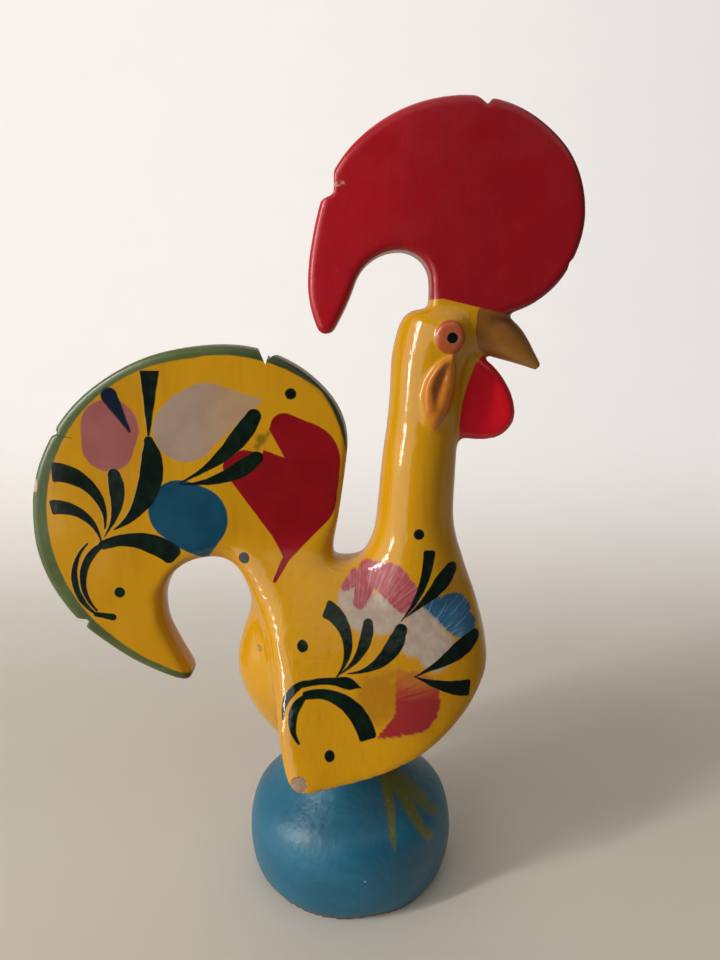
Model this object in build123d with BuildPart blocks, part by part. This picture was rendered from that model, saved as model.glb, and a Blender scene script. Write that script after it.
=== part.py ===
"""Painted earthenware cockerel on a domed base, luted together from pressed and cut clay pieces.

Frame: origin in the middle of the foot, +Z up, +X towards the beak, +Y the bird's left. Millimetres.
"""

import math
import os

from build123d import *

# Base: a hollow dome on a foot ring
BASE_HEIGHT = 43.0
BASE_RADIUS = 35.0
BASE_WIDEST_HEIGHT = 14.0
FOOT_RADIUS = 30.0
BASE_MOUTH_RADIUS = 20.0
BASE_WALL = 6.0
SEAT_RADIUS = 15.0
BASE_SHOULDER = 5.5

# Spigot under the belly that stands in the base's socket, with the vent that lets steam out in the kiln
SPIGOT_RADIUS = 8.0
SPIGOT_LENGTH = 6.0
VENT_RADIUS = 1.5
SLIP_GAP = 0.2

# Body: heights from the seat up, then the lengths and widths of belly, breast, neck and head
BREAST_RISE = 37.0
SHOULDER_RISE = 24.0
NECK_ROOT_RISE = 16.0
NECK_LENGTH = 46.0
HEAD_HEIGHT = 24.5
BREAST_FRONT = 45.5
BELLY_REAR = -38.3
BELLY_WIDTH = 41.0
SHOULDER_WIDTH = 26.0
FLANK_FLARE = 25.6
NECK_X = 21.2
NECK_DEPTH = 23.6
NECK_WIDTH = 23.2
HEAD_X = 25.2
HEAD_DEPTH = 25.7
HEAD_WIDTH = 22.4
BODY_WALL = 6.0

# Wings: flaps on the flanks, thin at the lower edge
WING_ROOT_HEIGHT = 16.0
WING_LENGTH = 51.5

# Tail slab
TAIL_THICKNESS = 12.0
TAIL_ROUNDING = 1.8

# Comb slab
COMB_THICKNESS = 14.0
COMB_ROUNDING = 2.2

# Beak, wattle, eyes and ear lobes
BEAK_TIP_ROUNDING = 0.8
WATTLE_THICKNESS = 9.0
WATTLE_ROUNDING = 3.0
EYE_WIDTH = 8.6
EYE_HEIGHT = 9.6
EYE_ROUNDING = 0.9
EYE_RELIEF = 1.2
EYE_SOCKET = 1.0
LOBE_RELIEF = 2.2
LOBE_GROOVE = 1.3

# Heights that the pieces share
SEAT_Z = BASE_HEIGHT
DOME_RISE = BASE_HEIGHT - BASE_WIDEST_HEIGHT
BASE_SHOULDER_Z = BASE_WIDEST_HEIGHT + 0.53 * DOME_RISE
BREAST_Z = SEAT_Z + BREAST_RISE
SHOULDER_Z = BREAST_Z + SHOULDER_RISE
NECK_ROOT_Z = SHOULDER_Z + NECK_ROOT_RISE
THROAT_Z = NECK_ROOT_Z + NECK_LENGTH
CROWN_Z = THROAT_Z + HEAD_HEIGHT
WING_FRONT = WING_LENGTH - 19.8
TAIL_X = -20.0
COMB_X = HEAD_X + 10
WATTLE_X = NECK_X + NECK_DEPTH / 2
EYE_X = HEAD_X + 3.2
EYE_Y = HEAD_WIDTH / 2 - 0.6
EYE_Z = CROWN_Z - 8.3
GAP_HALF = 32.5
GAP_TOP_HALF = 5.0
GAP_TOP_Z = BREAST_Z + 8
REACH = 400.0

os.makedirs("parts", exist_ok=True)


def side_plane(x=0.0, z=0.0):
    """Upright plane along the bird's length, with its own origin at x, z."""
    return Plane(origin=(x, 0, z), x_dir=(1, 0, 0), z_dir=(0, -1, 0))


def arc_run(start, heading, *ends):
    """Tangent arcs from a start point and heading through the points that follow."""
    runs = []
    for end in ends:
        runs.append(TangentArc(start, end, tangent=heading))
        start = end
        heading = runs[-1] % 1
    return runs


def flank_half(z):
    """Half the width across the flanks, which spread evenly from the shoulder down to the wing tips."""
    return SHOULDER_WIDTH / 2 + (SHOULDER_Z - z) * math.tan(math.radians(FLANK_FLARE))


def plan_section(z, rear, front, half, squareness=2.0, count=12):
    """Level section from rear to front: a superellipse, squarer as its exponent grows."""
    middle = (rear + front) / 2
    reach = (front - rear) / 2
    points = []
    for step in range(count):
        angle = 2 * math.pi * step / count
        bulge = (abs(math.cos(angle)) ** squareness + abs(math.sin(angle)) ** squareness) ** (-1 / squareness)
        along = bulge * math.cos(angle)
        across = bulge * math.sin(angle)
        points.append((middle + reach * along, half * across))
    with BuildSketch(Plane.XY.offset(z)) as section:
        with BuildLine():
            Spline(*points, periodic=True)
        make_face()
    return section.sketch


def neck_section(z, x, depth, width, grow=0.0):
    """Round section of the neck or head, grown outwards for what lies on it."""
    return plan_section(z, x - depth / 2 - grow, x + depth / 2 + grow, width / 2 + grow)


def neck_sections(grow=0.0):
    """Sections from inside the shoulder to the crown."""
    return [
        neck_section(SHOULDER_Z - 14, NECK_X - 7.5, NECK_DEPTH + 26, NECK_WIDTH + 12, grow),
        neck_section(SHOULDER_Z, NECK_X - 3.5, NECK_DEPTH + 17.5, NECK_WIDTH + 8, grow),
        neck_section(SHOULDER_Z + 8, NECK_X - 1.8, NECK_DEPTH + 9.6, NECK_WIDTH + 5.4, grow),
        neck_section(NECK_ROOT_Z, NECK_X - 1, NECK_DEPTH + 3, NECK_WIDTH + 2.8, grow),
        neck_section(NECK_ROOT_Z + 0.26 * NECK_LENGTH, NECK_X - 0.7, NECK_DEPTH + 1, NECK_WIDTH + 1, grow),
        neck_section(NECK_ROOT_Z + 0.65 * NECK_LENGTH, NECK_X, NECK_DEPTH, NECK_WIDTH, grow),
        neck_section(THROAT_Z, NECK_X + 1.4, NECK_DEPTH - 0.4, NECK_WIDTH - 1, grow),
        neck_section(THROAT_Z + 0.57 * HEAD_HEIGHT, HEAD_X, HEAD_DEPTH, HEAD_WIDTH, grow),
        neck_section(CROWN_Z - 4.5, HEAD_X + 1.5, HEAD_DEPTH, HEAD_WIDTH - 2, grow),
        neck_section(CROWN_Z - 1.2, HEAD_X + 2, HEAD_DEPTH - 2.5, HEAD_WIDTH - 5.5, grow),
        neck_section(CROWN_Z, HEAD_X + 2, HEAD_DEPTH - 8, HEAD_WIDTH - 11, grow),
    ]


def flank_section(z, setback):
    """Level section of the torso, flat along the flanks and round at the breast, set back from its front."""
    return plan_section(z, -50, BREAST_FRONT - setback, flank_half(z), 3.0)


def beak_section(x, z, droop, half_height, half_width):
    """Section of the beak at x, z from the middle of the crown, turned down by its droop."""
    turn = math.radians(droop)
    across = Plane(
        origin=(HEAD_X + x, 0, CROWN_Z + z),
        x_dir=(0, 1, 0),
        z_dir=(math.cos(turn), 0, -math.sin(turn)),
    )
    with BuildSketch(across) as section:
        Ellipse(half_width, half_height)
    return section.sketch


# Torso: flanks that spread towards the wings, cut to the side outline of breast, wing edges and back
with BuildPart() as torso:
    loft(
        [
            flank_section(SEAT_Z - 2, 3),
            flank_section(BREAST_Z - 20, 0.5),
            flank_section(BREAST_Z, 0),
            flank_section(BREAST_Z + 13, 2.8),
            flank_section(SHOULDER_Z, 6.7),
            flank_section(SHOULDER_Z + 10, 10),
        ]
    )
    with BuildSketch(side_plane(0, BREAST_Z)):
        with BuildLine():
            lower = Spline((48, 7), (44.2, -1.4), (34.8, -13.2), (18.4, -23), (0.2, -28.3), (-14, -31.2))
            tip = Spline((-14, -31.2), (-18.4, -29.9), (-20.1, -25.5), tangents=[lower % 1, (-0.25, 1)])
            Spline((-20.1, -25.5), (-24.2, -3.5), (-27.7, 12.6), (-32, 20), tangents=[tip % 1, (-0.6, 1)])
            Polyline((-32, 20), (-33.6, 24), (-37.5, 29.5), (-34, 35), (-14, 35), (-7.5, 30))
            Spline((-7.5, 30), (-2, 29.6), (6, 32))
            Polyline((6, 32), (6, 40), (80, 40), (80, 7), (48, 7))
        make_face()
    extrude(amount=REACH, both=True, mode=Mode.INTERSECT)

with BuildPart() as neck:
    loft(neck_sections())

with BuildPart() as belly:
    loft(
        [
            plan_section(SEAT_Z, -14, 16, 12),
            plan_section(SEAT_Z + 7, -27, 25, 15.5),
            plan_section(SEAT_Z + 17, BELLY_REAR + 4.3, 33, 18.5),
            plan_section(BREAST_Z - 5, BELLY_REAR, 38, BELLY_WIDTH / 2),
            plan_section(BREAST_Z + 8, BELLY_REAR + 2.3, 38, 15),
            plan_section(BREAST_Z + 20, BELLY_REAR + 5, 34, 9),
            plan_section(BREAST_Z + 26, BELLY_REAR + 18, 30, 5),
        ]
    )

# Zone of the wings: below the wing root and behind the breast
with BuildPart() as wing_zone:
    with BuildSketch(side_plane(WING_FRONT, BREAST_Z + WING_ROOT_HEIGHT)):
        Rectangle(REACH, REACH, align=(Align.MAX, Align.MAX))
    extrude(amount=REACH, both=True)

# Open wedge between the two wings, in which the belly hangs
with BuildPart() as wing_gap:
    with BuildSketch(Plane.YZ.offset(-REACH)):
        Polygon(
            (GAP_HALF, SEAT_Z),
            (GAP_TOP_HALF, GAP_TOP_Z),
            (-GAP_TOP_HALF, GAP_TOP_Z),
            (-GAP_HALF, SEAT_Z),
            (-GAP_HALF, 0),
            (GAP_HALF, 0),
            align=None,
        )
    extrude(amount=2 * REACH)

# Tail: a slab cut to a sickle, its rim rounded and nicked with a knife, its root let into the back
with BuildPart() as tail:
    with BuildSketch(side_plane(TAIL_X, SHOULDER_Z).offset(-TAIL_THICKNESS / 2)):
        with BuildLine():
            hook = arc_run((-13.4, -6), (0, 1), (-27, 7), (-42, -7.5), (-41, -16), (-34.5, -30.5))
            point = Line(hook[-1] @ 1, hook[-1] @ 1 + (hook[-1] % 1) * 2.5)
            rim = arc_run(
                point @ 1, point % 1, (-35.6, -35.6), (-65.8, -18.4), (-82, 13.4), (-63, 59.8), (-18, 74.9),
                (11.5, 61), (17.9, 41), (14, 13),
            )
            Polyline(rim[-1] @ 1, (12, -4), (-8, -13), (-13.4, -13), (-13.4, -6))
        make_face()
    extrude(amount=TAIL_THICKNESS)
    fillet(tail.faces().filter_by(Axis.Y).edges().filter_by(GeomType.CIRCLE), TAIL_ROUNDING)
    with BuildSketch(side_plane(TAIL_X, SHOULDER_Z)):
        Polygon((-4, 75), (-6, 69.5), (-9, 75), align=None)
        Polygon((-75.5, 50.2), (-71, 47.4), (-76, 46.3), align=None)
        Polygon((-71.5, -14), (-65.6, -13.9), (-68.5, -18), align=None)
    extrude(amount=TAIL_THICKNESS, both=True, mode=Mode.SUBTRACT)

# Wings: flaps that spread from the flanks, thin at their lower edge
with BuildPart() as wing_right:
    add(torso.part)
    add(wing_zone.part, mode=Mode.INTERSECT)
    split(bisect_by=Plane.XZ, keep=Keep.TOP)
    add(wing_gap.part, mode=Mode.SUBTRACT)
    add(belly.part, mode=Mode.SUBTRACT)
    add(neck.part, mode=Mode.SUBTRACT)
    add(tail.part, mode=Mode.SUBTRACT)

with BuildPart() as wing_left:
    add(wing_right.part)
    mirror(about=Plane.XZ, mode=Mode.REPLACE)

# Comb: a slab cut to a crest with a hook behind, its root let into the crown
with BuildPart() as comb:
    with BuildSketch(side_plane(COMB_X, CROWN_Z).offset(-COMB_THICKNESS / 2)):
        with BuildLine():
            arch = arc_run((-12.5, 7.5), (0, 1), (-22.2, 16.7), (-35.2, 7), (-41.3, -6.5))
            crest = arc_run(
                arch[-1] @ 1, arch[-1] % 1, (-46.4, -6.3), (-49.1, 8), (-45.4, 29.9), (-35.2, 46.6),
                (-7.2, 59.1), (22.4, 48.9), (32, 28.3), (26.1, 8.7), (13.3, -0.7),
            )
            root = Line(crest[-1] @ 1, crest[-1] @ 1 + (crest[-1] % 1) * 9)
            Polyline(root @ 1, (2, -8), (-12.5, -8), (-12.5, 7.5))
        make_face()
    extrude(amount=COMB_THICKNESS)
    fillet(comb.faces().filter_by(Axis.Y).edges().filter_by(GeomType.CIRCLE), COMB_ROUNDING)
    with BuildSketch(side_plane(COMB_X, CROWN_Z)):
        Polygon((-50, 28.5), (-41.5, 32), (-41.6, 38.2), (-50, 38.2), align=None)
        Polygon((-2.4, 60.5), (2.1, 56.4), (4.6, 60.5), align=None)
        Polygon((36, 16.9), (28.1, 13.9), (28.3, 9.8), (36, 9), align=None)
    extrude(amount=COMB_THICKNESS, both=True, mode=Mode.SUBTRACT)

# Wattle: a pressed lobe let into the throat
with BuildPart() as wattle:
    with BuildSketch(side_plane(WATTLE_X, THROAT_Z).offset(-WATTLE_THICKNESS / 2)):
        with BuildLine():
            lobe = arc_run((5.5, 11), (0.87, -0.5), (13.5, 3.5), (16.8, -6), (9, -15.4), (-2, -14.5))
            lobe_end = Line(lobe[-1] @ 1, lobe[-1] @ 1 + (lobe[-1] % 1) * 4)
            Polyline(lobe_end @ 1, (-5, -8), (-3, 8), (5.5 - 4.35, 11 + 2.5), (5.5, 11))
        make_face()
    extrude(amount=WATTLE_THICKNESS)
    fillet(wattle.faces().filter_by(Axis.Y).edges().filter_by(GeomType.CIRCLE), WATTLE_ROUNDING)

# Beak: a cone rolled between the palms, bent down to its point and let into the face
with BuildPart() as beak:
    loft(
        [
            beak_section(8.5, -5.3, 5, 6.2, 6.4),
            beak_section(19.3, -8.2, 30, 6.75, 6),
            beak_section(26.8, -13.2, 38, 3.9, 3.6),
            beak_section(32.3, -17.6, 45, 1.3, 1.2),
        ]
    )
    fillet(beak.faces().sort_by(Axis.X)[-1].edges(), BEAK_TIP_ROUNDING)
    add(comb.part, mode=Mode.SUBTRACT)

with BuildPart() as wattle_seated:
    add(wattle.part)
    add(beak.part, mode=Mode.SUBTRACT)

# Eye: a pellet pressed into a shallow socket in the cheek
with BuildPart() as eye_right:
    with BuildSketch(side_plane(EYE_X, EYE_Z).offset(EYE_Y - EYE_SOCKET)):
        Ellipse(EYE_WIDTH / 2, EYE_HEIGHT / 2)
    extrude(amount=EYE_SOCKET + EYE_RELIEF)
    fillet(eye_right.faces().sort_by(Axis.Y)[0].edges(), EYE_ROUNDING)

with BuildPart() as eye_left:
    add(eye_right.part)
    mirror(about=Plane.XZ, mode=Mode.REPLACE)

# Ear lobe: an almond of clay laid on the cheek, with a groove pressed down its middle
with BuildPart() as lobe_top:
    loft(neck_sections(LOBE_RELIEF)[4:])

with BuildPart() as groove_floor:
    loft(neck_sections(LOBE_RELIEF - LOBE_GROOVE)[4:])

with BuildPart() as groove:
    with BuildSketch(side_plane(NECK_X, THROAT_Z)):
        with BuildLine():
            ThreePointArc((3.4, -5.5), (2.4, 1), (6.8, 8.6))
            ThreePointArc((6.8, 8.6), (5.7, 1), (3.4, -5.5))
        make_face()
    extrude(amount=REACH)
    add(groove_floor.part, mode=Mode.SUBTRACT)

with BuildPart() as earlobe_right:
    with BuildSketch(side_plane(NECK_X, THROAT_Z)):
        with BuildLine():
            ThreePointArc((3.1, -11.2), (-0.4, -1), (8.4, 11))
            ThreePointArc((8.4, 11), (8.8, 1), (3.1, -11.2))
        make_face()
    extrude(amount=REACH)
    add(lobe_top.part, mode=Mode.INTERSECT)
    add(groove.part, mode=Mode.SUBTRACT)
    add(neck.part, mode=Mode.SUBTRACT)

with BuildPart() as earlobe_left:
    add(earlobe_right.part)
    mirror(about=Plane.XZ, mode=Mode.REPLACE)

# Body: torso, belly, neck and head in one hollow pressing, with sockets for what is let into it
with BuildPart() as hollow:
    loft(
        [
            plan_section(SEAT_Z + BODY_WALL, -13, 13, 6),
            plan_section(SEAT_Z + 17, BELLY_REAR + BODY_WALL + 4, 25, 18.5 - BODY_WALL),
            plan_section(BREAST_Z - 5, BELLY_REAR + BODY_WALL, 30, BELLY_WIDTH / 2 - BODY_WALL),
            plan_section(BREAST_Z + 6, BELLY_REAR + BODY_WALL + 6, 31, 10),
            plan_section(SHOULDER_Z - 4, 0, NECK_X + 9, NECK_WIDTH / 2 - BODY_WALL + 2),
            neck_section(
                NECK_ROOT_Z, NECK_X - 1, NECK_DEPTH - 2 * BODY_WALL + 3, NECK_WIDTH - 2 * BODY_WALL + 1
            ),
            neck_section(THROAT_Z - 10, NECK_X + 0.5, NECK_DEPTH - 2 * BODY_WALL, NECK_WIDTH - 2 * BODY_WALL),
        ],
        ruled=True,
    )

with BuildPart() as body:
    add(torso.part)
    add(wing_zone.part, mode=Mode.SUBTRACT)
    add(neck.part)
    add(belly.part)
    split(bisect_by=Plane.XZ, keep=Keep.TOP)
    mirror(about=Plane.XZ)
    add(tail.part, mode=Mode.SUBTRACT)
    add(comb.part, mode=Mode.SUBTRACT)
    add(beak.part, mode=Mode.SUBTRACT)
    add(wattle_seated.part, mode=Mode.SUBTRACT)
    add(eye_right.part, mode=Mode.SUBTRACT)
    add(eye_left.part, mode=Mode.SUBTRACT)
    add(hollow.part, mode=Mode.SUBTRACT)
    with BuildSketch(Plane.XY.offset(SEAT_Z)):
        Circle(SPIGOT_RADIUS)
    extrude(amount=-SPIGOT_LENGTH)
    with BuildSketch(Plane.XY.offset(SEAT_Z - SPIGOT_LENGTH)):
        Circle(VENT_RADIUS)
    extrude(amount=SPIGOT_LENGTH + BODY_WALL + 2, mode=Mode.SUBTRACT)

# Base: a thrown dome, hollow and open beneath, with a hole in its top for the body's spigot
with BuildPart() as base:
    with BuildSketch(Plane.XZ):
        with BuildLine():
            Line((BASE_MOUTH_RADIUS, 0), (FOOT_RADIUS, 0))
            EllipticalCenterArc(
                (FOOT_RADIUS, BASE_WIDEST_HEIGHT), BASE_RADIUS - FOOT_RADIUS, BASE_WIDEST_HEIGHT,
                start_angle=270, arc_size=90,
            )
            arc_run(
                (BASE_RADIUS, BASE_WIDEST_HEIGHT),
                (0, 1),
                (BASE_RADIUS - 0.2 * BASE_SHOULDER, BASE_WIDEST_HEIGHT + 0.3 * DOME_RISE),
                (BASE_RADIUS - BASE_SHOULDER, BASE_SHOULDER_Z),
                (SEAT_RADIUS, BASE_HEIGHT),
            )
            Polyline(
                (SEAT_RADIUS, BASE_HEIGHT),
                (SPIGOT_RADIUS + SLIP_GAP, BASE_HEIGHT),
                (SPIGOT_RADIUS + SLIP_GAP, BASE_HEIGHT - BASE_WALL),
                (SEAT_RADIUS - BASE_WALL / 2, BASE_HEIGHT - BASE_WALL),
                (BASE_RADIUS - BASE_SHOULDER - 0.7 * BASE_WALL, BASE_SHOULDER_Z - 0.7 * BASE_WALL),
                (BASE_RADIUS - BASE_WALL, BASE_WIDEST_HEIGHT + 0.1 * DOME_RISE),
                (BASE_RADIUS - BASE_WALL, BASE_WIDEST_HEIGHT),
                (BASE_MOUTH_RADIUS, BASE_WALL),
                (BASE_MOUTH_RADIUS, 0),
            )
        make_face()
    revolve(axis=Axis.Z)

pieces = {
    "base": base,
    "body": body,
    "wing_right": wing_right,
    "wing_left": wing_left,
    "tail": tail,
    "comb": comb,
    "beak": beak,
    "wattle": wattle_seated,
    "eye_right": eye_right,
    "eye_left": eye_left,
    "earlobe_right": earlobe_right,
    "earlobe_left": earlobe_left,
}
for name, piece in pieces.items():
    piece.part.label = name
    export_step(piece.part, f"parts/{name}.step")
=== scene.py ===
"""Painted earthenware cockerel on a domed base: fired clay, brushed enamels and a clear varnish.

Metres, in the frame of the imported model: origin under the base, +Z up, +X towards the beak and
+Y the bird's left. Paint is laid out in millimetres, in the side view: X along and Z up.
"""

import math

import bmesh
import bpy
from mathutils import Matrix, Vector, kdtree, noise


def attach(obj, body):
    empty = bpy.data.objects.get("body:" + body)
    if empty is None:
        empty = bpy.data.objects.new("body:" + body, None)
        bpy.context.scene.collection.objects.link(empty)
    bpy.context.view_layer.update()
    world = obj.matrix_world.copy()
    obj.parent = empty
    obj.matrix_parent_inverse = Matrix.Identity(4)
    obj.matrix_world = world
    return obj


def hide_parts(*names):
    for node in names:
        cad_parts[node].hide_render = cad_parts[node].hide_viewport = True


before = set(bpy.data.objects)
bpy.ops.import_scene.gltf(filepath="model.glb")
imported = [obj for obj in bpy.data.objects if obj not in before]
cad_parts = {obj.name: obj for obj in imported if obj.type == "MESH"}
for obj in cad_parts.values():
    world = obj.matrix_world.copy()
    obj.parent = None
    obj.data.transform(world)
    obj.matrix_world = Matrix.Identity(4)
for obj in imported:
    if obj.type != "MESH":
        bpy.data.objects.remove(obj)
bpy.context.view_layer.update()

# Base: a dome of red clay thrown on the wheel, hollow and open beneath, on which the bird stands.
# It is brushed with blue enamel that dries to a satin; the toes are laid on with a soft wet brush.
MM = 0.001
FLAT_FOOT = 0.7 * MM


class Wire:
    """The output of a shader node, worked with as a value."""

    def __init__(self, socket):
        self.socket = socket

    def node(self, kind, settings, sockets, out=0):
        """A new node beside this one: its settings are made first, then its sockets are filled."""
        tree = self.socket.id_data
        made = tree.nodes.new("ShaderNode" + kind)
        for name, value in settings.items():
            if name == "stops":
                self.set_stops(made.color_ramp, value)
            else:
                setattr(made, name, value)
        for name, value in sockets.items():
            if isinstance(value, Wire):
                tree.links.new(value.socket, made.inputs[name])
            else:
                made.inputs[name].default_value = value
        return Wire(made.outputs[out])

    @staticmethod
    def set_stops(ramp, stops):
        """Greys along a new ramp, which already has its first and its last stop."""
        ramp.interpolation = "CARDINAL"
        for stop, (_, grey) in zip(ramp.elements, (stops[0], stops[-1])):
            stop.color = (grey, grey, grey, 1)
        for spot, grey in stops[1:-1]:
            ramp.elements.new(spot).color = (grey, grey, grey, 1)

    def math(self, operation, *terms, clamp=False):
        settings = {"operation": operation, "use_clamp": clamp}
        return self.node("Math", settings, dict(enumerate(terms)))

    def __add__(self, other):
        return self.math("ADD", self, other)

    def __radd__(self, other):
        return self.math("ADD", other, self)

    def __sub__(self, other):
        return self.math("SUBTRACT", self, other)

    def __rsub__(self, other):
        return self.math("SUBTRACT", other, self)

    def __mul__(self, other):
        return self.math("MULTIPLY", self, other)

    def __rmul__(self, other):
        return self.math("MULTIPLY", other, self)

    def __abs__(self):
        return self.math("ABSOLUTE", self)

    def least(self, other):
        return self.math("MINIMUM", self, other)

    def most(self, other):
        return self.math("MAXIMUM", self, other)

    def vector(self, operation, *terms, out=0):
        terms = dict(enumerate((self, *terms)))
        return self.node("VectorMath", {"operation": operation}, terms, out)

    def length(self):
        return self.vector("LENGTH", out=1)

    def along(self, axis):
        return self.vector("DOT_PRODUCT", axis, out=1)

    def part(self, name):
        return self.node("SeparateXYZ", {}, {0: self}, "XYZ".index(name))

    def grain(self, scale, detail=2.0, out=0):
        """Cloudy noise over this place; an out of 1 gives it in colour."""
        return self.node("TexNoise", {}, {"Vector": self, "Scale": scale, "Detail": detail}, out)

    def drawn(self, fineness, detail=3.0):
        """Noise of a fineness along each axis, drawn out as a brush pulls paint."""
        return self.vector("MULTIPLY", fineness).grain(1.0, detail)

    def ramp(self, low, high, start=0.0, end=1.0):
        """Eases from start to end as this value goes from low to high."""
        settings = {"interpolation_type": "SMOOTHSTEP"}
        return self.node("MapRange", settings, {0: self, 1: low, 2: high, 3: start, 4: end})

    def cloud(self, start=0.0, end=1.0):
        """Eases from start to end over the middle of a noise, where most of it lies."""
        return self.ramp(0.3, 0.7, start, end)

    def sway(self, reach):
        """A noise of 0 to 1 as a swing to either side of nothing."""
        return (self - 0.5) * reach

    def inside(self, soft):
        """1 where this distance to a brushed edge is below nothing, 0 outside it."""
        return self.ramp(-soft, soft, 1.0, 0.0)

    def blend(self, first, second):
        """From the first colour to the second as this value goes from 0 to 1."""
        return self.node("Mix", {"data_type": "RGBA"}, {0: self, 6: first, 7: second}, 2)

    def painted(self, mask, colour):
        """This colour with another brushed over it."""
        return mask.blend(self, colour)

    def into(self, shader, name):
        self.socket.id_data.links.new(self.socket, shader.inputs[name])


def enamel(code):
    """Linear colour of a code on the paint chart."""
    channels = [int(code[start:start + 2], 16) / 255 for start in (0, 2, 4)]
    linear = [c / 12.92 if c <= 0.04045 else ((c + 0.055) / 1.055) ** 2.4 for c in channels]
    return (*linear, 1.0)


def new_finish(name):
    """A finish: its material, its shader, and the place on the piece in millimetres."""
    finish = bpy.data.materials.new(name)
    finish.use_nodes = True
    shader = finish.node_tree.nodes["Principled BSDF"]
    spot = Wire(shader.outputs["BSDF"]).node("TexCoord", {}, {}, "Object")
    return finish, shader, spot.vector("MULTIPLY", (1000, 1000, 1000))


def relief(shader, height, depth):
    """Raises the surface by a height of 0 to 1 over a depth in millimetres."""
    sockets = {"Height": height, "Distance": depth * MM, "Strength": 1.0}
    height.node("Bump", {}, sockets).into(shader, "Normal")


def gather(*nodes):
    """The raw clay of these pieces, with its seams merged."""
    clay = bmesh.new()
    for node in nodes:
        clay.from_mesh(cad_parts[node].data)
    bmesh.ops.remove_doubles(clay, verts=clay.verts, dist=0.001 * MM)
    return clay


def settle(piece):
    """Works a piece's modifiers into its mesh."""
    graph = bpy.context.evaluated_depsgraph_get()
    mesh = bpy.data.meshes.new_from_object(piece.evaluated_get(graph))
    piece.modifiers.clear()
    piece.data = mesh


def slip_over(name, clay, voxel):
    """One closed skin of slip over raw clay."""
    piece = bpy.data.objects.new(name, bpy.data.meshes.new(name))
    clay.to_mesh(piece.data)
    clay.free()
    bpy.context.scene.collection.objects.link(piece)
    slip = piece.modifiers.new("slip", "REMESH")
    slip.mode = "VOXEL"
    slip.voxel_size = voxel
    settle(piece)
    return piece


def sponge(clay, verts, passes):
    """Rubs these points of the clay smooth."""
    axes = {"use_axis_x": True, "use_axis_y": True, "use_axis_z": True}
    for _ in range(passes):
        bmesh.ops.smooth_vert(clay, verts=verts, factor=0.5, **axes)


def handle(clay, depth, span):
    """The slight unevenness that hands leave in clay."""
    clay.normal_update()
    for vert in clay.verts:
        vert.co += vert.normal * depth * noise.noise(vert.co / span)


def work_over(piece, clay):
    """Puts worked clay back into its piece, smooth all over."""
    for face in clay.faces:
        face.smooth = True
    clay.to_mesh(piece.data)
    clay.free()


base = slip_over("base_dome", gather("base"), voxel=0.8 * MM)
clay = bmesh.new()
clay.from_mesh(base.data)
sponge(clay, clay.verts, passes=8)
handle(clay, depth=0.3 * MM, span=16 * MM)
for vert in clay.verts:
    if vert.co.z < FLAT_FOOT:
        vert.co.z = 0.0
work_over(base, clay)


def smear(flat, start, end, start_radius, end_radius):
    """Distance to a straight drag of the brush whose width changes along it."""
    run = Vector((end[0] - start[0], 0, end[1] - start[1]))
    taper = (start_radius - end_radius) / run.length
    lean = taper / math.sqrt(1 - taper * taper) / run.length_squared
    offset = flat.vector("SUBTRACT", (start[0], 0, start[1]))
    aside = abs(offset.along((run.z, 0, -run.x)))
    share = offset.along(run / run.length_squared)
    share = share.math("MULTIPLY_ADD", aside, -lean, share, clamp=True)
    multiply_add = {"operation": "MULTIPLY_ADD"}
    away = share.node("VectorMath", multiply_add, {0: share, 1: -run, 2: offset}).length()
    return share.math("MULTIPLY_ADD", share, start_radius - end_radius, away) - start_radius


def wet_edge(place, reach, scale):
    """The place in the side view, pulled about a little as a brush's edge is."""
    shaken = place.grain(scale, 4.0, out=1).vector("SUBTRACT", (0.5, 0.5, 0.5))
    shaken = shaken.vector("MULTIPLY", (reach, 0, reach))
    return place.vector("MULTIPLY", (1, 0, 1)).vector("ADD", shaken)


def closest(shapes):
    """Distance to the nearest of several touches of the brush."""
    nearest = shapes[0]
    for shape in shapes[1:]:
        nearest = nearest.least(shape)
    return nearest


base_blue, shader, place = new_finish("base_blue")
swirl = place.drawn((0.03, 0.03, 0.09), 4.0)
blue = swirl.cloud().blend(enamel("0E566E"), enamel("16647E"))
blue = blue.painted(place.grain(0.9, 3.0).ramp(0.6, 0.8, 0.0, 0.15), enamel("4A8494"))
toe_spot = wet_edge(place, 1.4, 0.3)
toes = closest([
    smear(toe_spot, (12.0, 41.0), (14.2, 24.5), 2.3, 0.4),
    smear(toe_spot, (14.5, 38.5), (26.2, 22.6), 1.5, 0.9),
    smear(toe_spot, (15.5, 38.0), (29.4, 26.0), 1.4, 0.4),
])
toe_green = place.grain(0.5).blend(enamel("5C5A10"), enamel("78761E"))
blue = blue.painted(toes.inside(0.8) * 0.95, toe_green)
specks = place.node("TexVoronoi", {}, {"Vector": place, "Scale": 0.1})
blue = blue.painted(specks.ramp(0.025, 0.045, 1.0, 0.0) * 0.6, enamel("B8C8C8"))
worn_foot = (place.part("Z") + place.grain(0.6) * 1.2).ramp(0.9, 1.8, 1.0, 0.0)
blue = blue.painted(worn_foot, enamel("7A5038"))
blue.into(shader, "Base Color")
swirl.cloud(0.36, 0.46).into(shader, "Roughness")
relief(shader, place.grain(0.3, 4.0), depth=0.3)
base.data.materials.append(base_blue)
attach(base, "root")
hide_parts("base")

# Body: belly, breast, neck and head pressed hollow in red clay; the other pieces are luted to it.
# The seams are sponged away while the clay is damp, and a plug in the steam vent keeps slip out of
# the hollow. The whole bird is brushed yellow and varnished after firing.
PLUG_RADIUS, PLUG_LENGTH, PLUG_HEIGHT = 3 * MM, 22 * MM, 50 * MM
BELLY_TOP, BELLY_BACK = 100 * MM, -41 * MM

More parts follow.
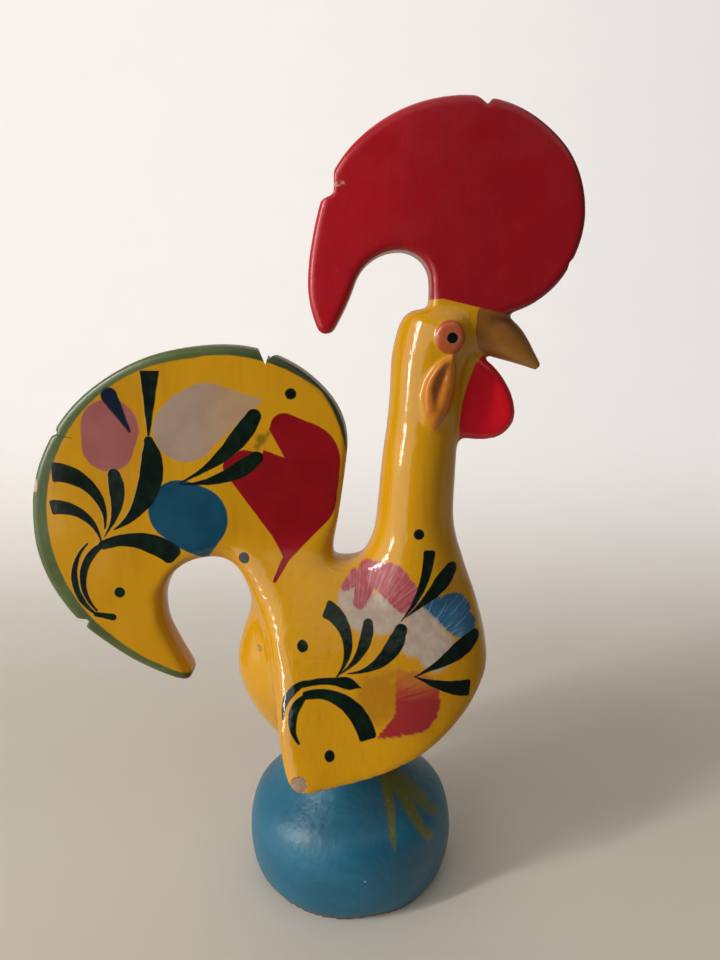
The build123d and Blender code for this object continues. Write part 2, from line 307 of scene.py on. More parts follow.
# Seams to sponge: where each starts and ends, how far the sponge reaches from it, and its passes
SEAMS = (
    ((-20, 52), (-24, 76), 8, 80),
    ((-24, 76), (-33, 101), 11, 200),
    ((-31, 98), (-40, 112), 12, 240),
    ((-36, 113), (-8, 113), 12, 120),
    ((-8, 110), (10, 114), 12, 100),
    ((18, 112), (34, 112), 18, 60),
    ((-53, 110), (-62, 97), 5, 60),
    ((-62, 97), (-61, 88), 5, 60),
    ((-61, 88), (-53.5, 72), 5, 60),
    ((9, 191), (16, 196), 7, 120),
    ((13, 193.5), (48, 189), 5, 24),
    ((36.5, 189), (39, 177), 4.5, 24),
    ((24, 157), (29, 176), 8, 8),
    ((14, 126), (28, 152), 16, 40),
)
SPONGE_SHARES = (1.0, 0.8, 0.6, 0.4)

# How far the neck's back and its throat are drawn forward, at every step up from its root
TRUED = (
    (0.0, 0.0), (-0.35, 0.0), (-0.69, 0.0), (-0.61, -0.05), (-0.15, -0.26), (0.46, -0.52),
    (0.97, -0.67), (1.13, -0.58), (0.78, -0.25), (0.0, 0.6), (-0.35, 0.81), (-0.21, 0.57),
    (0.06, 0.3), (0.27, 0.0), (0.28, 0.0), (0.08, 0.0), (0.0, 0.0), (0.0, 0.0),
)
NECK_ROOT, NECK_STEP = 116, 4
NECK_BACK, NECK_DEPTH = 9, 24
TAIL_CLEAR = 2 * MM
FLANK_TOP, FLANK_START, FLANK_SLOPE = 104, 8, 0.479
BREAST_START, BREAST_SLOPE = 15, 0.6

clay = gather(
    "body", "wing_right", "wing_left", "tail", "comb", "beak", "wattle",
    "eye_right", "eye_left", "earlobe_right", "earlobe_left",
)
bmesh.ops.create_cone(
    clay, cap_ends=True, segments=16, radius1=PLUG_RADIUS, radius2=PLUG_RADIUS,
    depth=PLUG_LENGTH, matrix=Matrix.Translation((0, 0, PLUG_HEIGHT)),
)
body = slip_over("body_hull", clay, voxel=0.6 * MM)


def sponge_seam(clay, start, end, reach, passes):
    """Rubs a seam of the side view smooth, hardest along its line and fading out to its reach."""
    run_x, run_z = end[0] - start[0], end[1] - start[1]
    square = run_x * run_x + run_z * run_z
    gaps = []
    for vert in clay.verts:
        x, z = vert.co.x / MM - start[0], vert.co.z / MM - start[1]
        share = min(1.0, max(0.0, (x * run_x + z * run_z) / square))
        gap = math.hypot(x - run_x * share, z - run_z * share)
        if gap < reach:
            gaps.append((vert, gap))
    for share in SPONGE_SHARES:
        rubbed = [vert for vert, gap in gaps if gap < reach * share]
        sponge(clay, rubbed, passes // len(SPONGE_SHARES))


def true_neck(clay):
    """Draws the neck straight between the palms."""
    for vert in clay.verts:
        step, share = divmod((vert.co.z / MM - NECK_ROOT) / NECK_STEP, 1)
        if vert.co.x > TAIL_CLEAR and 0 <= step < len(TRUED) - 1:
            below, above = TRUED[int(step)], TRUED[int(step) + 1]
            back, throat = (low + (high - low) * share for low, high in zip(below, above))
            across = min(1.0, max(0.0, (vert.co.x / MM - NECK_BACK) / NECK_DEPTH))
            vert.co.x += (back + (throat - back) * across) * MM


clay = bmesh.new()
clay.from_mesh(body.data)
true_neck(clay)
sponge(clay, clay.verts, passes=3)
belly = [vert for vert in clay.verts if vert.co.z < BELLY_TOP and vert.co.x > BELLY_BACK]
sponge(clay, belly, passes=40)
for seam in SEAMS:
    sponge_seam(clay, *seam)
handle(clay, depth=0.22 * MM, span=14 * MM)
work_over(body, clay)

skin = kdtree.KDTree(len(body.data.vertices))
for vertex in body.data.vertices:
    skin.insert(vertex.co, vertex.index)
skin.balance()
skin_normals = [vertex.normal.copy() for vertex in body.data.vertices]


def keep_sheen(piece):
    """Lights a cut piece as the whole skin was, so that no seam shows."""
    normals = [skin_normals[skin.find(vertex.co)[1]] for vertex in piece.data.vertices]
    piece.data.normals_split_custom_set_from_vertices(normals)


def dab(flat, x, z, radius):
    """Distance to a round dab of paint."""
    return flat.vector("DISTANCE", (x, 0, z), out=1) - radius


# How a brush is pressed: shares of the way along a touch, and of its width there
TOUCH = ((0, 0.08), (0.3, 0.38), (0.62, 0.86), (0.85, 1.0), (1, 0.8))
SQUARE = ((0, 0.1), (0.3, 0.4), (0.65, 0.75), (1, 1.0))
THREAD = ((0, 0.3), (0.4, 0.9), (0.7, 1.0), (1, 0.4))
BROAD = ((0, 0.45), (0.35, 0.62), (0.65, 0.9), (1, 1.0))
HOOKED = ((0, 0.5), (0.55, 0.66), (0.8, 1.0), (1, 0.12))


def stroke(flat, root, bow, end, width, profile, corner=math.inf):
    """Distance to a touch of the brush that bends from its root over a bow to its end.

    The end is rounded by a corner radius, as far as its width allows.
    """
    a, b, c = (Vector((*point, 0)) for point in (root, bow, end))
    near, far = b - a, c - a
    twist = near.cross(far)
    turned = near.length_squared * far.cross(twist) - far.length_squared * near.cross(twist)
    middle = a + turned / (2 * twist.length_squared)
    radius = (a - middle).length
    facing = (b - middle).normalized()
    side = Vector((0, 0, 1)).cross(facing)
    begin = math.atan2((a - middle).dot(side), (a - middle).dot(facing))
    finish = math.atan2((c - middle).dot(side), (c - middle).dot(facing))
    corner = min(corner, profile[-1][1] * width / 2)
    finish -= math.copysign(corner / radius, finish - begin)
    sweep = finish - begin
    offset = flat.vector("SUBTRACT", (middle.x, 0, middle.y))
    across = offset.along((facing.x, 0, facing.y))
    angle = across.math("ARCTAN2", offset.along((side.x, 0, side.y)), across)
    share = angle.math("MULTIPLY_ADD", angle, 1 / sweep, -begin / sweep)
    press = share.node("ValToRGB", {"stops": profile}, {0: share})
    beyond = (abs(share - 0.5) - 0.5).most(0) * (radius * abs(sweep))
    aside = (abs(offset.length() - radius) - press * (width / 2) + corner).most(0)
    return share.node("CombineXYZ", {}, {0: aside, 1: beyond}).length() - corner


def combed(flat, x, z, count):
    """The lines that a dry brush leaves as it fans out from a flower's heart."""
    offset = flat.vector("SUBTRACT", (x, 0, z))
    angle = offset.math("ARCTAN2", offset.part("Z"), offset.part("X"))
    fan = angle.node("CombineXYZ", {}, {0: angle * count, 1: offset.length() * 0.1})
    return fan.grain(1.0, 4.0)


def yellow_enamel(place):
    """Yellow enamel, thinner and browner where the brush was pulled hard."""
    tone = place.drawn((0.035, 0.035, 0.02))
    yellow = tone.ramp(0.25, 0.75).blend(enamel("BE840A"), enamel("CC920E"))
    streaks = place.drawn((0.45, 0.45, 0.05))
    return yellow.painted(streaks.ramp(0.5, 0.8, 0.0, 0.2), enamel("9E680A"))


def leaf_green(place):
    """Dark green, a little lighter where the brush ran dry."""
    return place.grain(0.3, 3.0).ramp(0.4, 0.8).blend(enamel("021007"), enamel("082412"))


flank_paint, shader, place = new_finish("flank_paint")
colour = yellow_enamel(place)
flat = wet_edge(place, 0.45, 0.3)
height = place.part("Z")

# Only the outer sides are painted: beyond a half width that grows down the wings and narrows
# again towards the breast
narrowing = (place.part("X") - BREAST_START).most(0) * BREAST_SLOPE
half_width = (FLANK_TOP - height) * FLANK_SLOPE + FLANK_START - narrowing
flank = (abs(place.part("Y")) - half_width).ramp(-0.6, 0.6)

ochre = dab(flat, 8.6, 74.5, 6.6).least(smear(flat, (4.5, 79.5), (12, 80.5), 1.0, 1.6))
smoke = place.grain(0.35, 4.0)
colour = colour.painted((ochre + smoke.sway(4)).inside(1.6) * flank * 0.6, enamel("9C6614"))

lines = combed(flat, 12, 108, 16)
white = closest([
    dab(flat, 3.7, 98.6, 6.1), dab(flat, 9.0, 97.4, 5.8), dab(flat, -0.4, 101.4, 4.0),
    dab(flat, 13.2, 96, 3.6), dab(flat, 22.5, 92, 7.0), dab(flat, 21, 97.4, 4.2),
    dab(flat, 26.6, 86.9, 5.8), dab(flat, 18.8, 88.8, 3.4),
])
wisps = lines.sway(1.2) + smoke.sway(2.4)
pale = (lines * 0.3 + smoke * 0.7).ramp(0.35, 0.65).blend(enamel("A89482"), enamel("B6A494"))
colour = colour.painted((white + wisps).inside(0.8) * flank * 0.95, pale)

lines = combed(flat, 2, 90, 26)
pink_edge = 83.9 - flat.along((0.654, 0, 0.756))
pink_gap = 4.9 - flat.vector("DISTANCE", (7.6, 0, 97.4), out=1)
pink = closest([
    dab(flat, 11.2, 105.2, 7.7), dab(flat, 6.6, 107.2, 5.4), dab(flat, 15.4, 103.2, 5.7),
])
pink = closest([
    pink.most(pink_edge).most(pink_gap),
    smear(flat, (4.2, 106), (2.5, 100.8), 3.0, 2.2),
    smear(flat, (-1.9, 105), (1, 107.4), 1.4, 2.2),
])
pale = (lines * 0.7 + smoke * 0.3).ramp(0.44, 0.68).blend(enamel("A0424E"), enamel("B47476"))
colour = colour.painted((pink + lines.sway(1.2)).inside(0.4) * flank * 0.95, pale)

lines = combed(flat, 18, 84, 26)
blue_edge = 86.5 - flat.along((0.7, 0, 0.71))
blue = closest([
    dab(flat, 31.2, 96, 6.9), dab(flat, 26.4, 99.2, 3.6), dab(flat, 35.6, 93, 3.8),
]).most(blue_edge)
pale = (lines * 0.8 + smoke * 0.2).ramp(0.5, 0.7).blend(enamel("205A7C"), enamel("6A98AC"))
colour = colour.painted((blue + lines.sway(2.0)).inside(0.4) * flank * 0.97, pale)

lines = combed(flat, 4, 72, 13)
red_edge = 13.7 - flat.part("X") - (70.4 - flat.part("Z")).most(0) * 0.95
red = closest([
    dab(flat, 19, 73.2, 8.4),
    smear(flat, (20, 76), (14.5, 80.6), 4.2, 2.3),
    smear(flat, (17, 69), (9, 65), 4.2, 0.8),
]).most(red_edge)
worn_red = (lines * 0.5 + (height - 74) * 0.06 + 0.1).ramp(0.3, 0.8)
red_mask = (red + lines.sway(2.6)).inside(0.5) * flank * (1.0 - worn_red * 0.25)
colour = colour.painted(red_mask, worn_red.blend(enamel("962A2A"), enamel("B0602C")))

leaves = closest([
    stroke(flat, (-4.2, 80.4), (-1.1, 89.5), (-8.3, 98.9), 5.2, SQUARE, 0.7),
    stroke(flat, (-3.9, 80.8), (2.8, 86.8), (5.1, 96.2), 3.8, TOUCH),
    stroke(flat, (-0.4, 81.3), (9.2, 84.6), (15.9, 94.6), 5.0, TOUCH),
    stroke(flat, (15.6, 95.6), (21.4, 105), (24, 117.2), 3.8, SQUARE, 0.9),
    stroke(flat, (17.4, 97), (25.6, 104.2), (32.4, 112.2), 5.3, TOUCH),
    stroke(flat, (20, 80.3), (29.6, 84.2), (40.6, 90.2), 5.2, TOUCH),
    stroke(flat, (20, 80), (27.2, 77.4), (37.2, 75.2), 4.6, SQUARE, 0.7),
    stroke(flat, (-20.4, 68.6), (-18.7, 75), (-12, 78.9), 2.3, THREAD),
    stroke(flat, (-14.5, 78), (-6.5, 79.1), (3.2, 77.4), 3.4, HOOKED),
    stroke(flat, (-15.4, 62.8), (-17.4, 69), (-12.6, 75.4), 2.9, THREAD),
    stroke(flat, (-13.6, 75.2), (-3.2, 74.2), (5.5, 63.9), 5.4, BROAD, 1.0),
    dab(flat, 20.6, 122.2, 1.65),
    dab(flat, -15, 88.4, 1.7),
    dab(flat, -6, 59.7, 1.55),
])
leaf_mask = leaves.inside(0.18) * flank
colour = colour.painted(leaf_mask, leaf_green(place))

# Wear: chips down to the clay on the near side, and a rubbed lower edge
near_side = place.part("Y") + 4
chips = dab(flat, -14.8, 52.0, 2.3).least(dab(flat, -29.5, 83, 0.7)).most(near_side)
worn_edge = smear(flat, (-12, 49.6), (2, 52.4), 0.5, 0.5)
worn_edge = worn_edge.least(smear(flat, (2, 52.4), (18, 57.6), 0.5, 0.35))
wear = worn_edge + place.grain(0.5, 4.0).ramp(0.4, 0.6, 0.0, 1.2)
bare = (chips + place.grain(1.0, 3.0).sway(1.6)).inside(0.2)
colour = colour.painted(wear.inside(0.3) * 0.7, enamel("5A3C14"))
colour = colour.painted(bare, place.grain(1.2).blend(enamel("7E6048"), enamel("A4866A")))
colour.into(shader, "Base Color")
gloss = place.grain(0.08, 3.0).cloud(0.08, 0.15)
(gloss + bare * 0.6).into(shader, "Roughness")
brushed = place.drawn((0.8, 0.8, 0.1), 4.0) * 0.7 + place.grain(0.25, 4.0) * 1.2
relief(shader, brushed + leaf_mask * 0.4 - bare * 3, depth=0.1)
body.data.materials.append(flank_paint)
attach(body, "root")
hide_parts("body")

# Wings: two flaps of clay that spread from the flanks over the belly, thin at their lower edge.
# They are luted along their whole root; flowers and leaves run across them and the body in one
# painting.
WING_FRONT = 31.7
WING_ROOT = 96.0
CLEAR = 60
SIDES = ((-1, "right"), (1, "left"))


def prism(outline, axes, start, end, lean=(0, 0)):
    """A cutting block, in millimetres: an outline on two axes drawn along the third.

    The drawing goes from start to end, and may lean over on the outline's axes.
    """
    order = ["XYZ".index(axis) for axis in axes]
    block = bmesh.new()
    ring = []
    for point in outline:
        corner = Vector()
        for axis, value in zip(order, (*point, start)):
            corner[axis] = value * MM
        ring.append(block.verts.new(corner))
    drawn = bmesh.ops.extrude_face_region(block, geom=[block.faces.new(ring)])
    shift = Vector()
    for axis, value in zip(order, (*lean, end - start)):
        shift[axis] = value * MM
    far_end = [part for part in drawn["geom"] if isinstance(part, bmesh.types.BMVert)]
    bmesh.ops.translate(block, vec=shift, verts=far_end)
    bmesh.ops.recalc_face_normals(block, faces=block.faces)
    cutter = bpy.data.objects.new("cutter", bpy.data.meshes.new("cutter"))
    block.to_mesh(cutter.data)
    block.free()
    bpy.context.scene.collection.objects.link(cutter)
    return cutter


def carve(piece, cutter, operation):
    """Keeps or takes away what lies in a cutting block."""
    knife = piece.modifiers.new("knife", "BOOLEAN")
    knife.operation = operation
    knife.solver = "MANIFOLD"
    knife.object = cutter
    settle(piece)


def take(name, node, cutter, finish):
    """Parts one piece from the luted figure, where its node stands, and gives it its finish."""
    piece = bpy.data.objects.new(name, body.data.copy())
    bpy.context.scene.collection.objects.link(piece)
    carve(piece, cutter, "INTERSECT")
    carve(body, cutter, "DIFFERENCE")
    bpy.data.objects.remove(cutter)
    piece.data.materials.clear()
    piece.data.materials.append(finish)
    keep_sheen(piece)
    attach(piece, "root")
    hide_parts(node)


for side, word in SIDES:
    root = ((8.4, WING_ROOT), (36.0, 38.0), (CLEAR, 38.0), (CLEAR, WING_ROOT))
    flap = prism([(side * y, z) for y, z in root], "YZX", -CLEAR, WING_FRONT)
    take("wing_flap_" + word, "wing_" + word, flap, flank_paint)

# Tail: a slab of clay cut to a sickle with a wire, its rim rounded with a wet finger and nicked
# with a knife. Its root is let into the back; a broad green band and a bouquet are brushed over
# the yellow on both faces.
POINTED = ((0, 0.1), (0.35, 0.7), (0.62, 1.0), (0.88, 0.8), (1, 0.4))
TAIL_OUTLINE = (
    (-36.5, 99), (-20, 104.5), (-4, 109.5), (0, 112), (3, 118), (5, 150), (5, 181.5),
    (-150, 181.5), (-150, 40), (-45, 40), (-45, 90),
)
NICK_OUTLINE = ((-30, 182), (-26.4, 173.4), (-23.4, 182))
NICK_LEAN = (-2.6, -0.9)

tail_paint, shader, place = new_finish("tail_paint")
colour = yellow_enamel(place)
flat = wet_edge(place, 0.45, 0.3)
height = place.part("Z")
along = flat.part("X")

# The band is what the brush leaves outside a few wide rounds, and it ends down the back
low_disc = dab(flat, -33, 137.5, 69.7).most(height - 89.5)
right_disc = dab(flat, -46, 140, 44.2) - along.ramp(-24, -20, 60, 0)
middle = closest([dab(flat, -46, 124, 51.0), dab(flat, -40, 128, 48), low_disc]).most(right_disc)
ending = along.ramp(-22, -21) * (height + place.grain(0.3) * 3).ramp(134, 137, 1, 0)
band = (1 - middle.inside(0.3)) * (1 - ending)
green = place.grain(0.06, 4.0).cloud().blend(enamel("424E20"), enamel("525F2C"))
green = green.painted(place.grain(0.4, 3.0).ramp(0.55, 0.75, 0, 0.4), enamel("5E6C3A"))
# painted shade: the green band is darker towards its right end, on the side away from the light
green = green.painted(along.ramp(-55, -18, 0, 0.8), enamel("1E2C14"))
colour = colour.painted(band, green)

soft = place.grain(0.1, 4.0).cloud()
bud = smear(flat, (-75.4, 153.4), (-76.3, 148), 9.0, 8.2)
colour = colour.painted(bud.inside(0.3) * 0.97, soft.blend(enamel("94504E"), enamel("9C5856")))
petal = closest([
    dab(flat, -52.2, 152.8, 9.8),
    smear(flat, (-50, 155.5), (-45.2, 158.7), 9.6, 9.0),
    smear(flat, (-45.2, 158.7), (-28.5, 162.4), 9.0, 0.5),
])
thin = along.ramp(-52, -34, 0.96, 0.7)
colour = colour.painted(petal.inside(0.35) * thin, soft.blend(enamel("9A8272"), enamel("A68E7E")))
blue = smear(flat, (-54.5, 127), (-50.5, 124.8), 10.2, 10.9)
blue = blue.least(smear(flat, (-50.5, 124.8), (-47.2, 111.6), 10.9, 0.5))
colour = colour.painted(blue.inside(0.25), soft.blend(enamel("0E4054"), enamel("144A60")))
heart = closest([
    smear(flat, (-21.4, 154.4), (-16.2, 143.8), 4.3, 12.2),
    smear(flat, (-16.2, 143.8), (-17, 132), 12.2, 11.8),
    smear(flat, (-17, 132), (-20.6, 113.4), 11.8, 1.4),
    smear(flat, (-20.8, 113), (-24.4, 106.2), 1.2, 0.6),
    smear(flat, (-36.8, 141.8), (-22.6, 121), 3.9, 3.5),
    smear(flat, (-22.6, 121), (-20.6, 113.4), 3.5, 1.4),
    smear(flat, (-34, 143.4), (-24.4, 138.8), 3.6, 6.6),
])
notch = smear(flat, (-21.5, 144.8), (-29.2, 151.5), 0.1, 3.7)
heart_mask = heart.most(-1 * notch).inside(0.2)
colour = colour.painted(heart_mask, soft.blend(enamel("7E060E"), enamel("8A0A14")))
leaves = closest([
    smear(flat, (-63.4, 151.5), (-62.2, 173), 0.4, 3.2).most(height - 171.2),
    stroke(flat, (-75.3, 121.2), (-65, 133), (-63.9, 151), 7.4, POINTED),
    stroke(flat, (-79, 118.8), (-74.6, 129.5), (-75.5, 140.6), 5.0, TOUCH),
    stroke(flat, (-78.8, 121.5), (-82.3, 134), (-94.4, 139.4), 6.4, SQUARE, 0.7),
    stroke(flat, (-80.3, 116.3), (-84, 124.2), (-95.6, 127.9), 4.8, SQUARE, 0.7),
    stroke(flat, (-54.3, 136.4), (-40.5, 145.5), (-29.6, 159.6), 5.8, TOUCH),
    stroke(flat, (-53.8, 136), (-41, 138.2), (-28.6, 146), 5.2, TOUCH),
    stroke(flat, (-83.2, 93.6), (-86.7, 106), (-76, 117.3), 2.6, THREAD),
    stroke(flat, (-79.5, 115.8), (-68, 117.2), (-56.4, 111.6), 7.0, BROAD, 2.0),
    stroke(flat, (-84.8, 116), (-89.6, 103), (-83, 92), 2.2, THREAD),
    smear(flat, (-83.5, 92.2), (-78, 91.3), 0.8, 1.2),
    dab(flat, -19.3, 164.6, 1.75),
    dab(flat, -34.6, 112.3, 1.75),
    dab(flat, -75.3, 99.8, 1.75),
])
leaf_mask = leaves.inside(0.18)
colour = colour.painted(leaf_mask * (1 - band * 0.2), leaf_green(place))
stem = smear(flat, (-69.3, 152.5), (-75, 163.5), 0.4, 2.6)
colour = colour.painted(stem.inside(0.25), enamel("08182A"))
smudge = dab(flat, -28.5, 150.5, 1.6).least(smear(flat, (-30, 148), (-26, 152.5), 0.8, 0.5))
colour = colour.painted(smudge.inside(0.9) * 0.75, enamel("5E5410"))
bare = smear(flat, (-100.2, 133.6), (-99.8, 136.4), 0.7, 0.6).inside(0.3)
crack = smear(flat, (-94, 151.2), (-87.1, 150.2), 0.2, 0.1).inside(0.14)
colour = colour.painted(bare, enamel("C0A888"))
colour = colour.painted(crack * 0.8, enamel("3A3018"))
colour.into(shader, "Base Color")
gloss = place.grain(0.08, 3.0).cloud(0.12, 0.2)
(gloss + bare * 0.6 + band * 0.15).into(shader, "Roughness")
brushed = place.drawn((0.1, 0.8, 0.7)) * 0.2 + place.grain(0.25, 4.0)
relief(shader, brushed + (leaf_mask + heart_mask) * 0.5 - (bare + crack) * 2, depth=0.07)


def through(outline):
    """A cutting block from side to side, right through the figure."""
    return prism(outline, "XZY", -CLEAR, CLEAR)


rim_nick = prism(NICK_OUTLINE, "XZY", -10, 10, NICK_LEAN)
carve(body, rim_nick, "DIFFERENCE")
bpy.data.objects.remove(rim_nick)
take("tail_sickle", "tail", through(TAIL_OUTLINE), tail_paint)

# Comb: a thick slab of clay cut to a crest with a hook behind, its edges rounded off and its teeth
# nicked. It is let into the crown and brushed with dark red enamel. The red is painted darker
# towards the beak: painted shade on the side turned away from the light.
COMB_OUTLINE = (
    (-60, 170), (2, 170), (4, 190.8), (13, 193.9), (22.5, 193), (26.3, 193.3), (31.7, 192.1),
    (36.7, 191), (46.7, 188.8), (49, 188.2), (90, 178), (90, 320), (-60, 320),
)

comb_red, shader, place = new_finish("comb_red")
flat = wet_edge(place, 0.9, 0.5)
# painted shade: the red darkens towards the beak, on the side away from the light
tone = place.grain(0.03) * 0.5 + (place.part("X") + 15) * 0.012
colour = tone.ramp(0.2, 0.9).blend(enamel("B0101C"), enamel("900A16"))
streaks = place.drawn((0.4, 0.4, 0.06))
colour = colour.painted(streaks.ramp(0.5, 0.8, 0, 0.15), enamel("6A0810"))
scratch = smear(flat, (-8.5, 224.5), (-3.5, 225.5), 1.0, 0.4)
bare = scratch.most(place.grain(0.9, 3.0) * 3 - 1.6).inside(0.3)
colour = colour.painted(bare, enamel("B08070"))
colour.into(shader, "Base Color")
gloss = place.grain(0.1, 3.0).cloud(0.2, 0.3)
(gloss + bare * 0.5).into(shader, "Roughness")
relief(shader, streaks * 0.4 + place.grain(0.4, 3.0) * 0.4 - bare, depth=0.14)
take("comb_crest", "comb", through(COMB_OUTLINE), comb_red)

# Beak: a cone of clay rolled between the palms and bent down, let into the face under the comb.
# It is brushed with ochre, which lies darker along its ridge.
BEAK_OUTLINE = (
    (36.7, 190), (36.3, 184), (37.5, 179), (40, 176.7), (40.8, 176.9), (43.6, 175.6), (70, 163),
    (90, 178), (38, 191.5),
)

beak_ochre, shader, place = new_finish("beak_ochre")
tone = place.grain(0.14, 3.0) * 0.5 + (place.part("Z") - 178) * 0.05
colour = tone.ramp(0.1, 0.8).blend(enamel("A8702A"), enamel("84501A"))
streaks = place.drawn((0.08, 0.5, 0.5))
colour = colour.painted(streaks.ramp(0.5, 0.8, 0, 0.2), enamel("6A3E14"))
colour.into(shader, "Base Color")
place.grain(0.2, 3.0).cloud(0.24, 0.34).into(shader, "Roughness")
relief(shader, streaks * 0.5 + place.grain(0.4, 3.0) * 0.4, depth=0.12)
take("beak_cone", "beak", through(BEAK_OUTLINE), beak_ochre)

# Wattle: a lobe of clay pressed flat and let into the throat under the beak.
# It carries the brightest red on the bird.
WATTLE_OUTLINE = (
    (39.6, 176.7), (37.1, 174.2), (35, 168.3), (33.3, 161.7), (32.7, 155), (33.3, 150.2),
    (34, 140), (90, 140), (90, 160), (43.6, 175.6), (40.8, 176.9),
)

wattle_red, shader, place = new_finish("wattle_red")
colour = place.grain(0.12, 3.0).cloud().blend(enamel("CA0A1C"), enamel("D61022"))
streaks = place.drawn((0.5, 0.5, 0.08))
colour = colour.painted(streaks.ramp(0.5, 0.8, 0, 0.2), enamel("800A14"))
colour.into(shader, "Base Color")
place.grain(0.2, 3.0).cloud(0.16, 0.26).into(shader, "Roughness")
relief(shader, streaks * 0.4 + place.grain(0.4, 3.0) * 0.4, depth=0.12)
take("wattle_lobe", "wattle", through(WATTLE_OUTLINE), wattle_red)

# Eyes: two pellets of clay pressed flat into shallow sockets in the cheeks.
# Each is dotted orange, with a black pupil set a little forward in a thin grey ring.
EYE_X, EYE_Z = 28.4, 182.2
EYE_HALF_LENGTH, EYE_HALF_HEIGHT = 4.5, 5.0
PUPIL = (28.9, 182.0)
EYE_DEPTH, CHEEK_CLEAR = 7, 40

eye_orange, shader, place = new_finish("eye_orange")
flat = wet_edge(place, 0.25, 1.2)
colour = place.grain(0.4, 3.0).cloud().blend(enamel("A84C2A"), enamel("B65A32"))
colour = colour.painted(dab(flat, *PUPIL, 2.0).inside(0.2) * 0.6, enamel("7E6858"))
colour = colour.painted(dab(flat, *PUPIL, 1.6).inside(0.15), enamel("060505"))
colour.into(shader, "Base Color")
place.grain(0.5, 3.0).cloud(0.14, 0.22).into(shader, "Roughness")
relief(shader, place.grain(0.6), depth=0.1)
turns = [math.radians(turn) for turn in range(0, 360, 10)]
eye_outline = [
    (EYE_X + EYE_HALF_LENGTH * math.cos(turn), EYE_Z + EYE_HALF_HEIGHT * math.sin(turn))
    for turn in turns
]
for side, word in SIDES:
    pellet = prism(eye_outline, "XZY", EYE_DEPTH * side, CHEEK_CLEAR * side)
    take("eye_pellet_" + word, "eye_" + word, pellet, eye_orange)

# Ear lobes: two almonds of clay laid on the cheeks behind the wattle, each with a groove pressed
# down its middle. They are brushed ochre, with painted shade laid as a darker line along the
# groove.
LOBE_OUTLINE = (
    (24.3, 154.3), (22.4, 157.5), (21.1, 161), (20.6, 165), (21.3, 168.8), (23.2, 172.4),
    (26, 175.4), (29.6, 177.4), (30.3, 174.5), (30.5, 170.5), (30.2, 166.5), (29.3, 162.5),
    (27.6, 158.2), (25.6, 155),
)
LOBE_DEPTH = 6

lobe_ochre, shader, place = new_finish("lobe_ochre")
flat = wet_edge(place, 0.4, 0.8)
colour = place.grain(0.25, 3.0).cloud().blend(enamel("BC6C20"), enamel("CA7A24"))
groove_shade = stroke(flat, (24.6, 161), (24.8, 167.5), (27.8, 174.5), 2.4, POINTED)
# painted shade: a darker line down the groove
colour = colour.painted(groove_shade.inside(1.0) * 0.7, enamel("7A4418"))
colour.into(shader, "Base Color")
place.grain(0.4, 3.0).cloud(0.18, 0.28).into(shader, "Roughness")
relief(shader, place.grain(0.5), depth=0.12)
for side, word in SIDES:
    almond = prism(LOBE_OUTLINE, "XZY", LOBE_DEPTH * side, CHEEK_CLEAR * side)
    take("ear_almond_" + word, "earlobe_" + word, almond, lobe_ochre)
keep_sheen(body)

# Studio: a pale sheet swept up behind the bird, a tall window and a wide pale curtain at its left,
# and weaker light from above. The camera stands close and a little above, as one looks at a piece
# on a table.
SHEET_PROFILE = ((-0.14, 0), (0.5, 0), (0.9, 0.4), (0.9, 3))
SHEET_WIDTH = 6
SHEET_BEND = 0.26
ROOM_LIGHT, ROOM_SEEN = 0.08, 0.85
VIEWPOINT = (0.0022, -0.2329, 0.1861)
VIEW_TILT, VIEW_ROLL = 78, 0.6

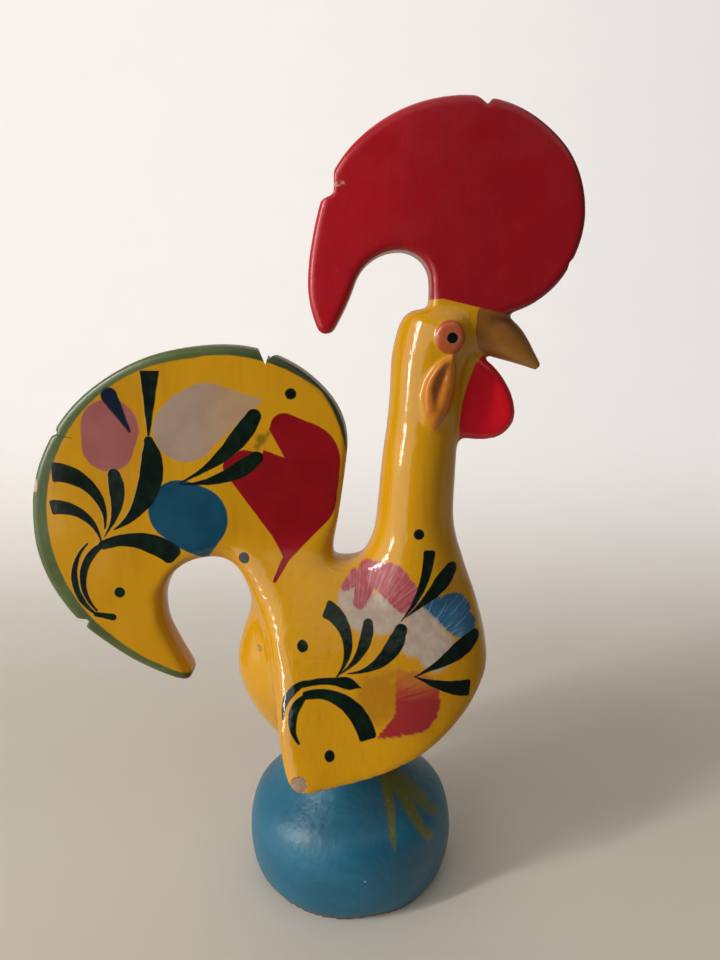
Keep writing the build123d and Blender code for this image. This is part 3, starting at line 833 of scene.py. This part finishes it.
sheet = bmesh.new()
edge = [sheet.verts.new((-SHEET_WIDTH / 2, y, z)) for y, z in SHEET_PROFILE]
lines = [sheet.edges.new(pair) for pair in zip(edge, edge[1:])]
drawn = bmesh.ops.extrude_edge_only(sheet, edges=lines)
far_end = [part for part in drawn["geom"] if isinstance(part, bmesh.types.BMVert)]
bmesh.ops.translate(sheet, vec=(SHEET_WIDTH, 0, 0), verts=far_end)
bmesh.ops.bevel(
    sheet, geom=[line for line in sheet.edges if line.is_manifold], offset=SHEET_BEND,
    segments=12, profile=0.5, affect="EDGES", material=-1,
)
bmesh.ops.recalc_face_normals(sheet, faces=sheet.faces)
backdrop = bpy.data.objects.new("paper_sweep", bpy.data.meshes.new("paper_sweep"))
work_over(backdrop, sheet)
bpy.context.scene.collection.objects.link(backdrop)
paper, shader, place = new_finish("pale_paper")
place.grain(0.02, 3.0).blend(enamel("D0C6B8"), enamel("D6CCBE")).into(shader, "Base Color")
shader.inputs["Roughness"].default_value = 0.8
seen = place.node("LightPath", {}, {}, "Is Camera Ray") * place.part("Y").ramp(60, 560)
seen.blend((0, 0, 0, 1), (0.4, 0.4, 0.43, 1)).into(shader, "Emission Color")
shader.inputs["Emission Strength"].default_value = 1.0
backdrop.data.materials.append(paper)


def lamp(name, place, target, width, height, watts):
    """A soft lamp of a width and height, turned to its target."""
    light = bpy.data.lights.new(name, "AREA")
    light.shape = "RECTANGLE"
    light.size = width
    light.size_y = height
    light.energy = watts
    fixture = bpy.data.objects.new(name, light)
    fixture.location = place
    aim = Vector(target) - Vector(place)
    fixture.rotation_euler = aim.to_track_quat("-Z", "Y").to_euler()
    bpy.context.scene.collection.objects.link(fixture)


lamp("window", (-0.9, -0.5, 0.52), (0, 0, 0.14), width=0.06, height=0.9, watts=8.0)
lamp("curtain", (-2.0, -1.3, 0.5), (0, 0, 0.14), width=3.0, height=3.2, watts=46.0)
lamp("skylight", (0.3, -0.75, 1.25), (0, 0, 0.12), width=1.6, height=1.4, watts=3.5)
lamp("ceiling", (0, 0.3, 1.3), (0, 0, 0.1), width=1.2, height=1.2, watts=2.5)
world = bpy.data.worlds.new("room")
world.use_nodes = True
glow = world.node_tree.nodes["Background"]
glow.inputs["Color"].default_value = (1, 1, 1, 1)
seen = Wire(glow.outputs["Background"]).node("LightPath", {}, {}, "Is Camera Ray")
seen.ramp(0, 1, ROOM_LIGHT, ROOM_SEEN).into(glow, "Strength")
bpy.context.scene.world = world
bpy.context.scene.view_settings.view_transform = "Standard"
camera = bpy.data.objects.new("viewer", bpy.data.cameras.new("viewer"))
camera.data.lens = 27.75
camera.data.clip_start = 0.01
camera.matrix_world = (
    Matrix.Translation(VIEWPOINT)
    @ Matrix.Rotation(math.radians(VIEW_TILT), 4, "X")
    @ Matrix.Rotation(math.radians(VIEW_ROLL), 4, "Z")
)
bpy.context.scene.collection.objects.link(camera)
bpy.context.scene.camera = camera
